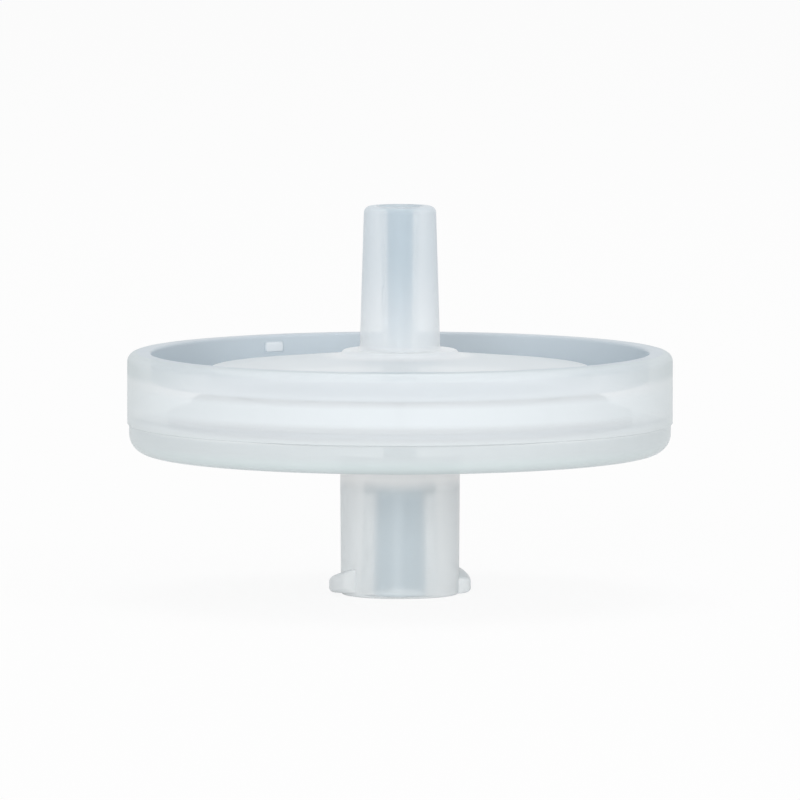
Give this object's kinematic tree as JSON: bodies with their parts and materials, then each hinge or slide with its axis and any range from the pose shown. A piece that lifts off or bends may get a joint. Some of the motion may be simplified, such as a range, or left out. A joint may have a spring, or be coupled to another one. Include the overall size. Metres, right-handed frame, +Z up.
{
  "type": "syringe filter",
  "caption": "Round syringe filter: a flat translucent disc with a luer-lock socket below, a tapered luer tube above and a white membrane welded inside.",
  "frame": {"origin": "centre of the inlet socket's end face, which the filter stands on", "axes": "+Z up the filter's axis, from the inlet socket to the outlet tube; the two socket lugs lie towards +X and -X"},
  "size_m": [0.03, 0.03, 0.0214],
  "materials": {
    "polypropylene": "natural milky translucent moulding, smooth and softly glossy",
    "filter_membrane": "matt white porous sheet"
  },
  "bodies": {
    "root": {"inlet_housing": "polypropylene", "membrane": "filter_membrane", "outlet_housing": "polypropylene"}
  },
  "joints": []
}
